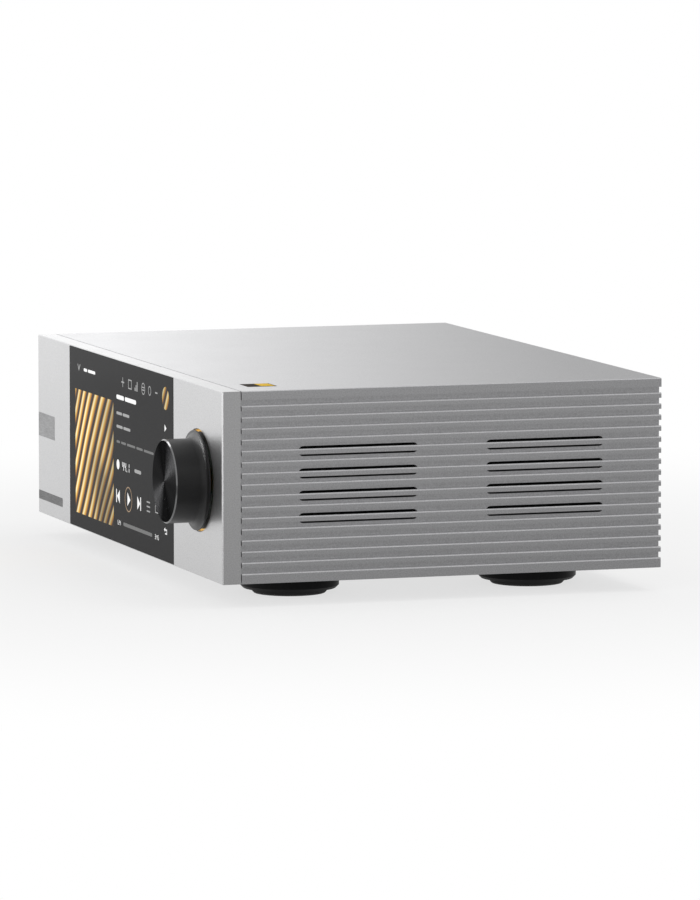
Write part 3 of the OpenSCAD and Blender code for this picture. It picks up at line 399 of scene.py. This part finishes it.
def on_pin(face, low, high):
    """True on the three round pins."""
    return face.center.y > high.y - PIN_FLOOR and math.hypot(*off_axis(face, low, high)) < XLR_PINS


def on_blade(face, low, high):
    """True on the inlet's three blades."""
    across, up = off_axis(face, low, high)
    return face.center.y > high.y - PIN_FLOOR and across < BLADES_ACROSS and up < BLADES_UP


for socket in ("network_socket", "usb_sockets", "video_socket"):
    repaint(socket, "black_plastic", in_mouth)
for socket in ("rca_left", "rca_right", "coax_out", "coax_in"):
    repaint(socket, "black_plastic", in_bore)
for socket in ("xlr_left", "xlr_right"):
    repaint(socket, "steel", on_pin)
repaint("mains_inlet", "steel", on_blade)


# Outlines of flat pieces, in mm
CIRCLE_SIDES = 28
RING_SIDES = 36
BAR_END_SIDES = 6


def circle(x, z, radius, count=CIRCLE_SIDES):
    """A round outline."""
    turns = (2 * math.pi * i / count for i in range(count))
    return [(x + radius * math.cos(turn), z + radius * math.sin(turn)) for turn in turns]


def ring(x, z, radius, width):
    """Quads that make a closed ring."""
    outer = circle(x, z, radius, RING_SIDES)
    inner = circle(x, z, radius - width, RING_SIDES)
    return [[outer[i - 1], outer[i], inner[i], inner[i - 1]] for i in range(RING_SIDES)]


def bar(x, z, length, height):
    """A bar with round ends, from x to the right, centred on z."""
    half = height / 2
    turns = [math.pi * (i / BAR_END_SIDES - 0.5) for i in range(BAR_END_SIDES + 1)]
    right = [(x + length - half + half * math.cos(turn), z + half * math.sin(turn)) for turn in turns]
    left = [(x + half - half * math.cos(turn), z - half * math.sin(turn)) for turn in turns]
    return right + left


def bars(z, height, *spans):
    """Bars in one row; each span is a start and a length."""
    return [bar(start, z, length, height) for start, length in spans]


def arrow(x, z, reach, half):
    """A triangle that stands on x and points along by reach, to the left where that is below zero."""
    return [(x, z - half), (x + reach, z), (x, z + half)]


def rectangle(low_x, low_z, high_x, high_z):
    """An upright outline from two of its corners."""
    return [(low_x, low_z), (high_x, low_z), (high_x, high_z), (low_x, high_z)]


def frame_of(low_x, low_z, high_x, high_z, width):
    """Four strips round a rectangle."""
    return [
        rectangle(low_x, low_z, high_x, low_z + width),
        rectangle(low_x, high_z - width, high_x, high_z),
        rectangle(low_x, low_z + width, low_x + width, high_z - width),
        rectangle(high_x - width, low_z + width, high_x, high_z - width),
    ]


# Figures of straight strokes: t top, m middle, b bottom, x above w on the left, u above v on the right.
# Their widths and gaps are shares of the height; a step is in widths, and after a point in strokes.
SEGMENTS = {"1": "uv", "2": "tumwb", "3": "tumvb", "4": "xmuv", "5": "txmvb"}
FIGURE_WIDTH = 0.62
FIGURE_STROKE = 0.15
FIGURE_GAP = 0.05
FIGURE_STEP = 1.4
POINT_STEP = 2.5


def digits(figures, x, z, height):
    """Figures made of straight strokes, from x to the right, standing on z; also colons and points."""
    width = FIGURE_WIDTH * height
    stroke = FIGURE_STROKE * height
    gap = FIGURE_GAP * height
    half = height / 2
    shapes = []
    for figure in figures:
        if figure in ".:":
            dots = (0.0,) if figure == "." else (0.0, half)
            shapes += [rectangle(x, z + low, x + stroke, z + low + stroke) for low in dots]
            x += POINT_STEP * stroke
            continue
        left = x + stroke
        right = x + width - stroke
        strokes = {
            "b": rectangle(left, z, right, z + stroke),
            "m": rectangle(left, z + half - stroke / 2, right, z + half + stroke / 2),
            "t": rectangle(left, z + height - stroke, right, z + height),
            "w": rectangle(x, z + gap, x + stroke, z + half - gap),
            "x": rectangle(x, z + half + gap, x + stroke, z + height - gap),
            "v": rectangle(right, z + gap, right + stroke, z + half - gap),
            "u": rectangle(right, z + half + gap, right + stroke, z + height - gap),
        }
        shapes += [strokes[key] for key in SEGMENTS[figure]]
        x += FIGURE_STEP * width
    return shapes


def flat_piece(name, outlines, place, thickness, material):
    """A thin piece on the chassis; place turns an outline point and a height, in mm, into metres."""
    mesh = bpy.data.meshes.new(name)
    shape = bmesh.new()
    for outline in outlines:
        back = [shape.verts.new(place(point, 0.0)) for point in outline]
        face = [shape.verts.new(place(point, thickness)) for point in outline]
        shape.faces.new(face)
        shape.faces.new(back[::-1])
        for i in range(len(outline)):
            shape.faces.new((back[i - 1], back[i], face[i], face[i - 1]))
    bmesh.ops.recalc_face_normals(shape, faces=shape.faces)
    shape.to_mesh(mesh)
    shape.free()
    mesh.materials.append(material)
    piece = add_object(name, mesh)
    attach(piece, "chassis")


# Screen materials: dark glass with light from behind
SCREEN_BASE = (0.02, 0.02, 0.02, 1.0)
SCREEN_ROUGH = 0.2
MARK_SPECULAR = 0.1
PIXEL = 0.3 * MM
PIXEL_VARY = 0.08
RIBBON_PITCH = 6.5 * MM
RIBBON_SLANT = (-0.8, 1.0, 0.6)
RIBBON_SCALE = 2 * math.pi / 10
RIBBON_WAVER = 5.0
RIBBON_WAVER_SCALE = 0.3
RIBBON_FADE = (0.35, 1.15)
RIBBON_FADE_SIZE = 4 * RIBBON_PITCH
RIBBON_STRENGTH = 0.95
RIBBON_SPECULAR = 0.02
RIBBON_TONES = (
    (0.00, (0.010, 0.005, 0.006)),
    (0.26, (0.012, 0.006, 0.006)),
    (0.36, (0.24, 0.08, 0.006)),
    (0.52, (0.72, 0.34, 0.03)),
    (0.68, (1.0, 0.70, 0.17)),
    (0.82, (1.0, 0.94, 0.68)),
    (0.92, (0.90, 0.50, 0.06)),
    (1.00, (0.12, 0.035, 0.005)),
)


def light_behind(tree, shader, colour, strength, specular):
    """Makes a shader dark glass that glows in a colour from the tree."""
    tree.links.new(colour, shader.inputs["Emission Color"])
    shader.inputs["Emission Strength"].default_value = strength
    shader.inputs["Base Color"].default_value = SCREEN_BASE
    shader.inputs["Roughness"].default_value = SCREEN_ROUGH
    shader.inputs["Specular IOR Level"].default_value = specular


def lit(name, colour, strength):
    """A screen colour, dimmed a little by the pixels."""
    made, tree, shader = new_material(name)
    pixels = noise(tree, PIXEL, detail=1.0)
    stops = ((GRAIN_LOW, shade(colour, 1.0 - PIXEL_VARY)), (GRAIN_HIGH, colour))
    light_behind(tree, shader, tones(tree, pixels, stops), strength, MARK_SPECULAR)
    return made


def picture_material():
    """Screen light in slanting, waving gold ribbons that fade along their length."""
    made, tree, shader = new_material("screen_ribbons")
    wave = tree.nodes.new("ShaderNodeTexWave")
    wave.wave_type = "BANDS"
    wave.bands_direction = "DIAGONAL"
    wave.wave_profile = "SAW"
    wave.inputs["Scale"].default_value = RIBBON_SCALE
    wave.inputs["Distortion"].default_value = RIBBON_WAVER
    wave.inputs["Detail"].default_value = 0.0
    wave.inputs["Detail Scale"].default_value = RIBBON_WAVER_SCALE
    tree.links.new(object_place(tree, RIBBON_PITCH, RIBBON_SLANT), wave.inputs["Vector"])
    fade = spread(tree, noise(tree, RIBBON_FADE_SIZE, detail=0.0), *RIBBON_FADE)
    faded = operation(tree, "ShaderNodeVectorMath", "SCALE")
    tree.links.new(tones(tree, wave.outputs["Fac"], RIBBON_TONES), faded.inputs[0])
    tree.links.new(fade, faded.inputs["Scale"])
    light_behind(tree, shader, faded.outputs["Vector"], RIBBON_STRENGTH, RIBBON_SPECULAR)
    return made


screen_white = lit("screen_white", (1.0, 1.0, 1.0), 0.9)
screen_grey = lit("screen_grey", (0.5, 0.5, 0.5), 0.6)
screen_dim = lit("screen_dim", (0.16, 0.16, 0.16), 0.6)
screen_bronze = lit("screen_bronze", (0.34, 0.21, 0.10), 0.8)
screen_ribbons = picture_material()


# Screen pieces, in mm from the screen's lower left corner, which is just above the glass's
SCREEN_LOW = 0.55
SCREEN_T = 0.03
DISC_SIDES = 40
HEAD_Z = 67.6
HEAD_HALF = 2.0
TITLE_Z = 60.8
LINE_X = 71.2
LINE_T = 1.2
PLAY_X = 88.4
PLAY_Z = 19.2
BACK_Z = 19.0
ARROW_HALF = 2.8
ARROW_REACH = 4.0
THIN = 0.45
STROKE = 0.5


def on_glass(point, height):
    """Screen point in metres."""
    rise = SCREEN_LOW + point[1]
    return Vector((glass_low.x + point[0] * MM, glass_low.y - height * MM, glass_low.z + rise * MM))


def screen_piece(name, outlines, material):
    """Lit shapes on the cover glass."""
    flat_piece(name, outlines, on_glass, SCREEN_T, material)


# Picture tile, small round picture and a thin ring round the play mark
screen_piece("screen_picture", [rectangle(9.0, 5.5, 66.5, 58.5)], screen_ribbons)
screen_piece("screen_disc", [circle(142.4, 66.6, 4.7, DISC_SIDES)], screen_ribbons)
screen_piece("screen_play_ring", ring(PLAY_X, PLAY_Z, 5.3, STROKE), screen_bronze)

# Transport marks, title bars and figures
play_mark = [arrow(87.0, PLAY_Z, 4.2, ARROW_HALF)]
back_mark = [
    arrow(75.6, BACK_Z, -ARROW_REACH, ARROW_HALF),
    rectangle(70.3, BACK_Z - ARROW_HALF, 71.3, BACK_Z + ARROW_HALF),
]
forward_mark = [
    arrow(101.4, PLAY_Z, ARROW_REACH, ARROW_HALF),
    rectangle(105.7, PLAY_Z - ARROW_HALF, 106.7, PLAY_Z + ARROW_HALF),
]
side_arrow = [arrow(140.9, 54.3, 2.6, 1.5)]
head_bars = bars(HEAD_Z, 1.3, (22.0, 5.0), (28.4, 11.0))
title_bars = bars(TITLE_Z, 1.8, (LINE_X, 11.0), (83.6, 16.4))
dot = [circle(73.2, 32.4, 2.1)]
return_mark = [
    rectangle(141.4, 12.2, 143.4, 12.7),
    arrow(141.4, 12.45, -1.6, 0.95),
    rectangle(143.4, 10.6, 143.9, 12.7),
    rectangle(141.4, 10.6, 143.4, 11.1),
]
figures = digits("44.1", 79.4, 30.4, 3.8) + digits("1:24", 71.4, 7.0, 2.0) + digits("3:45", 126.6, 7.0, 2.0)
white_marks = play_mark + back_mark + forward_mark + side_arrow + head_bars + title_bars + dot
screen_piece("screen_white_marks", white_marks + return_mark + figures, screen_white)

# Row of small marks along the top, lesser bars, the list mark and a box mark
low_z = HEAD_Z - HEAD_HALF
high_z = HEAD_Z + HEAD_HALF
down_mark = [[(12.4, 69.3), (13.2, 69.3), (14.6, 67.5), (16.0, 69.3), (16.8, 69.3), (14.6, 66.4)]]
plus_mark = [
    rectangle(80.3, low_z, 80.9, high_z),
    rectangle(78.6, HEAD_Z - 0.3, 80.3, HEAD_Z + 0.3),
    rectangle(80.9, HEAD_Z - 0.3, 82.6, HEAD_Z + 0.3),
]
level_mark = [
    rectangle(98.0, low_z, 99.0, HEAD_Z - 0.6),
    rectangle(99.6, low_z, 100.6, HEAD_Z + 0.6),
    rectangle(101.2, low_z, 102.2, high_z),
]
globe_mark = [
    rectangle(108.8, HEAD_Z + 0.3, 112.2, HEAD_Z + 0.8),
    rectangle(108.8, HEAD_Z - 0.8, 112.2, HEAD_Z - 0.3),
]
globe_mark += ring(110.5, HEAD_Z, 2.5, THIN)
tablet_mark = frame_of(88.6, low_z, 93.6, high_z, STROKE)
ring_mark = ring(119.7, HEAD_Z, HEAD_HALF, THIN)
dash_mark = bars(HEAD_Z, 0.6, (127.6, 3.4))
first_line = bars(54.0, LINE_T, (LINE_X, 8.0), (80.4, 9.6))
second_line = bars(48.4, LINE_T, (LINE_X, 9.0), (81.4, 10.0))
rate_bar = bars(32.2, 1.5, (97.4, 9.6))
box_mark = frame_of(127.2, 17.9, 131.4, 21.1, STROKE)
list_mark = [bar(115.0, 17.4 + 1.9 * step, 4.8, 0.6) for step in range(3)]
head_marks = down_mark + plus_mark + level_mark + globe_mark + tablet_mark + ring_mark + dash_mark
lesser_marks = first_line + second_line + rate_bar + box_mark + list_mark
screen_piece("screen_grey_marks", head_marks + lesser_marks, screen_grey)

progress_bar = bars(8.1, 1.5, (80.8, 42.0))
third_line = bars(42.0, 1.0, (LINE_X, 5.0), (78.0, 7.0), (86.6, 12.0), (100.4, 9.0), (111.2, 14.0))
screen_piece("screen_dim_marks", progress_bar + third_line, screen_dim)


# Bare plates on the front and a bare two-tone square on top, by two of their corners
PLATE_T = 0.06
PLATE_UPPER = rectangle(-134.2, 33.7, -109.4, 43.9)
PLATE_LOWER = rectangle(-134.2, 6.1, -97.2, 9.9)
SQUARE_DARK = rectangle(106.8, 16.1, 118.3, 28.3)
SQUARE_GOLD = rectangle(107.5, 21.9, 117.6, 27.6)


def on_panel(point, height):
    """Front panel point, in mm from its middle and from its lower edge."""
    return at(point[0], -height, point[1])


def on_top(point, height):
    """Casing top point, in mm from its middle and from the front."""
    return Vector((middle_x + point[0] * MM, front_y + point[1] * MM, casing_high.z + height * MM))


flat_piece("plate_upper", [PLATE_UPPER], on_panel, PLATE_T, finish["plate_pale"])
flat_piece("plate_lower", [PLATE_LOWER], on_panel, PLATE_T, finish["plate_dark"])
flat_piece("square_dark", [SQUARE_DARK], on_top, PLATE_T, finish["foil_dark"])
flat_piece("square_gold", [SQUARE_GOLD], on_top, 2 * PLATE_T, finish["foil_gold"])


# Black sheets behind the vent slots, painted shade for the dark inside of the casing: thickness, distance
# from the middle, and outline in mm
SHADE_SHEET_T = 0.31
SHADE_SHEET_X = 129.0
SHADE_SHEET_OUTLINE = rectangle(28.0, 20.0, 168.0, 60.0)
SHADE_SHEET_SQUARE = 0.4 * MM
# Near-black tones of the painted shade behind the vents
SHADE_SHEET_TONES = ((0.0, (0.004, 0.004, 0.004)), (1.0, (0.010, 0.010, 0.010)))
SHADE_SHEET_ROUGH = 0.9
SHADE_SHEET_SPECULAR = 0.1
SHADE_SHEET_DEPTH = 0.1 * MM


def vent_shade_material():
    """Painted shade behind the vent slots: near-black, in a fine square pattern with a slight bump."""
    made, tree, shader = new_material("vent_shade_sheet")
    squares = tree.nodes.new("ShaderNodeTexChecker")
    squares.inputs["Scale"].default_value = 1.0
    tree.links.new(object_place(tree, SHADE_SHEET_SQUARE), squares.inputs["Vector"])
    tree.links.new(tones(tree, squares.outputs["Fac"], SHADE_SHEET_TONES), shader.inputs["Base Color"])
    shader.inputs["Roughness"].default_value = SHADE_SHEET_ROUGH
    shader.inputs["Specular IOR Level"].default_value = SHADE_SHEET_SPECULAR
    relief(tree, shader, squares.outputs["Fac"], SHADE_SHEET_DEPTH)
    return made


def on_left_wall(point, height):
    """Left wall point, in mm from the front and from the casing's lower edge."""
    return at(-SHADE_SHEET_X - height, *point)


def on_right_wall(point, height):
    """Right wall point, as on the left."""
    return at(SHADE_SHEET_X + height, *point)


# Painted shade: near-black sheets just inside both walls darken what shows through the vent slots
vent_shade_sheet = vent_shade_material()
flat_piece("vent_shade_left", [SHADE_SHEET_OUTLINE], on_left_wall, SHADE_SHEET_T, vent_shade_sheet)
flat_piece("vent_shade_right", [SHADE_SHEET_OUTLINE], on_right_wall, SHADE_SHEET_T, vent_shade_sheet)


# Floor and world, in metres; a level of 1 is white
FLOOR_HALF = 12.0
FLOOR_NEAR = 0.17
FLOOR_FAR = 0.50
FLOOR_GLOW = 0.69
FLOOR_COLOUR = (0.9, 0.9, 0.9, 1.0)
WHITE = (1.0, 1.0, 1.0, 1.0)
AMBIENT = 0.66


def seen_rays(tree):
    """One for rays from the camera, from gloss and through glass."""
    path = tree.nodes.new("ShaderNodeLightPath")
    first = operation(tree, "ShaderNodeMath", "MAXIMUM")
    second = operation(tree, "ShaderNodeMath", "MAXIMUM")
    tree.links.new(path.outputs["Is Camera Ray"], first.inputs[0])
    tree.links.new(path.outputs["Is Glossy Ray"], first.inputs[1])
    tree.links.new(first.outputs["Value"], second.inputs[0])
    tree.links.new(path.outputs["Is Transmission Ray"], second.inputs[1])
    return second.outputs["Value"]


def mixed(tree, share, first, second):
    """Two shaders mixed by a share of the second."""
    mix = tree.nodes.new("ShaderNodeMixShader")
    tree.links.new(share, mix.inputs["Fac"])
    tree.links.new(first, mix.inputs[1])
    tree.links.new(second, mix.inputs[2])
    return mix.outputs["Shader"]


def paper_material():
    """White paper, clear from below, that keeps the shadow near the object and is white further out."""
    made, tree, out = empty_material("floor_paper")
    paper = tree.nodes.new("ShaderNodeBsdfDiffuse")
    paper.inputs["Color"].default_value = FLOOR_COLOUR
    white = tree.nodes.new("ShaderNodeEmission")
    white.inputs["Strength"].default_value = 1.0
    where = tree.nodes.new("ShaderNodeTexCoord")
    length = operation(tree, "ShaderNodeVectorMath", "LENGTH")
    tree.links.new(where.outputs["Object"], length.inputs[0])
    fade = remapped(tree, length.outputs["Value"], FLOOR_NEAR, FLOOR_FAR, FLOOR_GLOW, 1.0, "SMOOTHSTEP")
    both = operation(tree, "ShaderNodeMath", "MULTIPLY")
    tree.links.new(fade, both.inputs[0])
    tree.links.new(seen_rays(tree), both.inputs[1])
    upper = mixed(tree, both.outputs["Value"], paper.outputs["BSDF"], white.outputs["Emission"])
    side = tree.nodes.new("ShaderNodeNewGeometry")
    clear = tree.nodes.new("ShaderNodeBsdfTransparent")
    one_sided = mixed(tree, side.outputs["Backfacing"], upper, clear.outputs["BSDF"])
    tree.links.new(one_sided, out.inputs["Surface"])
    return made


def stage_quad(name, corners, material):
    """A four-cornered piece of the studio."""
    mesh = bpy.data.meshes.new(name)
    mesh.from_pydata(corners, [], [(0, 1, 2, 3)])
    mesh.materials.append(material)
    made = add_object(name, mesh)
    return made


def level(low_x, low_y, high_x, high_y, height):
    """Corners of a level quad."""
    return [(*corner, height) for corner in rectangle(low_x, low_y, high_x, high_y)]


floor_corners = level(-FLOOR_HALF, -FLOOR_HALF, FLOOR_HALF, FLOOR_HALF, cad_low.z)
stage_quad("floor", floor_corners, paper_material())

world = bpy.data.worlds.new("studio")
world.use_nodes = True
bpy.context.scene.world = world
sky = world.node_tree.nodes["Background"]
sky.inputs["Color"].default_value = WHITE
sky_level = remapped(world.node_tree, seen_rays(world.node_tree), 0.0, 1.0, AMBIENT, 1.0)
world.node_tree.links.new(sky_level, sky.inputs["Strength"])


# Studio cards, in metres, with the level of their light along an axis
CARD_LOW = cad_low.z + 1.0 * MM
LEFT_NEAR = (-0.8, -0.9)
LEFT_FAR = (-0.8, 0.9)
LEFT_TOP = 0.8
LEFT_LEVELS = ((-0.9, 1.13), (-0.3, 1.18), (0.0, 1.50), (0.13, 1.50), (0.22, 1.05), (0.31, 0.75),
               (0.40, 0.51), (0.9, 0.45))
RIGHT_NEAR = (1.145, -0.509)
RIGHT_FAR = (0.643, 1.009)
RIGHT_TOP = 0.45
RIGHT_LEVELS = ((-0.5, 0.64), (0.1, 0.58), (0.32, 0.47), (1.0, 0.46))
FLOOR_CARD = (0.14, -0.5, 1.1, 1.0)
FLOOR_LEVELS = ((0.1, 0.32), (0.9, 0.42))
HIGH_CARD = (0.27, -0.6, 0.95, 1.0)
HIGH_CARD_Z = 0.9
HIGH_LEVELS = ((0.2, 0.78), (1.0, 0.72))


def upright(start, end, low, high):
    """Corners of an upright quad that runs from start to end."""
    return [(*start, low), (*end, low), (*end, high), (*start, high)]


def graded_light(name, axis, stops):
    """Card light whose level runs along an axis; stops are pairs of metres and level."""
    made, tree, out = empty_material(name)
    light = tree.nodes.new("ShaderNodeEmission")
    where = tree.nodes.new("ShaderNodeTexCoord")
    apart = tree.nodes.new("ShaderNodeSeparateXYZ")
    tree.links.new(where.outputs["Object"], apart.inputs["Vector"])
    low = stops[0][0]
    high = stops[-1][0]
    span = remapped(tree, apart.outputs[axis], low, high)
    places = [((place - low) / (high - low), (strength, strength, strength)) for place, strength in stops]
    tree.links.new(tones(tree, span, places), light.inputs["Color"])
    tree.links.new(light.outputs["Emission"], out.inputs["Surface"])
    return made


def card(name, corners, material):
    """A studio card that shows only in reflections."""
    made = stage_quad(name, corners, material)
    made.visible_camera = False
    made.visible_diffuse = False
    made.visible_shadow = False


card("left_card", upright(LEFT_NEAR, LEFT_FAR, CARD_LOW, LEFT_TOP),
     graded_light("left_light", "Y", LEFT_LEVELS))
card("right_card", upright(RIGHT_NEAR, RIGHT_FAR, CARD_LOW, RIGHT_TOP),
     graded_light("right_light", "Y", RIGHT_LEVELS))
card("right_floor_card", level(*FLOOR_CARD, CARD_LOW), graded_light("right_floor_light", "X", FLOOR_LEVELS))
card("right_high_card", level(*HIGH_CARD, HIGH_CARD_Z), graded_light("right_high_light", "X", HIGH_LEVELS))


# Soft lamps, in metres: place, width, height and radiance, where 1 is as bright as the white background
LAMP_TARGET = Vector((0.0, 0.0, 0.05))
OVERHEAD = ((0.12, 0.36, 1.2), 0.8, 0.8, 1.5)
FRONT_LOW = ((0.45, -1.2, 0.25), 0.6, 0.5, 1.7)
KNOB_STRIP = ((-0.46, -0.99, 0.28), 0.7, 0.24, 17.0)
KNOB_HIGH = ((-0.78, -0.5, 0.59), 0.6, 0.5, 4.0)


def softbox(name, place, width, height, radiance):
    """A soft lamp that faces the object."""
    data = bpy.data.lights.new(name, "AREA")
    data.shape = "RECTANGLE"
    data.size = width
    data.size_y = height
    data.energy = radiance * math.pi * width * height
    lamp = add_object(name, data)
    lamp.location = place
    lamp.rotation_euler = (LAMP_TARGET - Vector(place)).to_track_quat("-Z", "Y").to_euler()
    lamp.visible_camera = False
    return lamp


def aimed_at(lamp, node_name):
    """Lets a lamp light one node alone."""
    alone = bpy.data.collections.new(f"{node_name}_alone")
    alone.objects.link(frame["nodes"][node_name])
    lamp.light_linking.receiver_collection = alone


overhead = softbox("overhead", *OVERHEAD)
overhead.visible_glossy = False
aimed_at(softbox("front_low", *FRONT_LOW), "front_panel")
aimed_at(softbox("knob_strip", *KNOB_STRIP), "knob")
aimed_at(softbox("knob_high", *KNOB_HIGH), "knob")
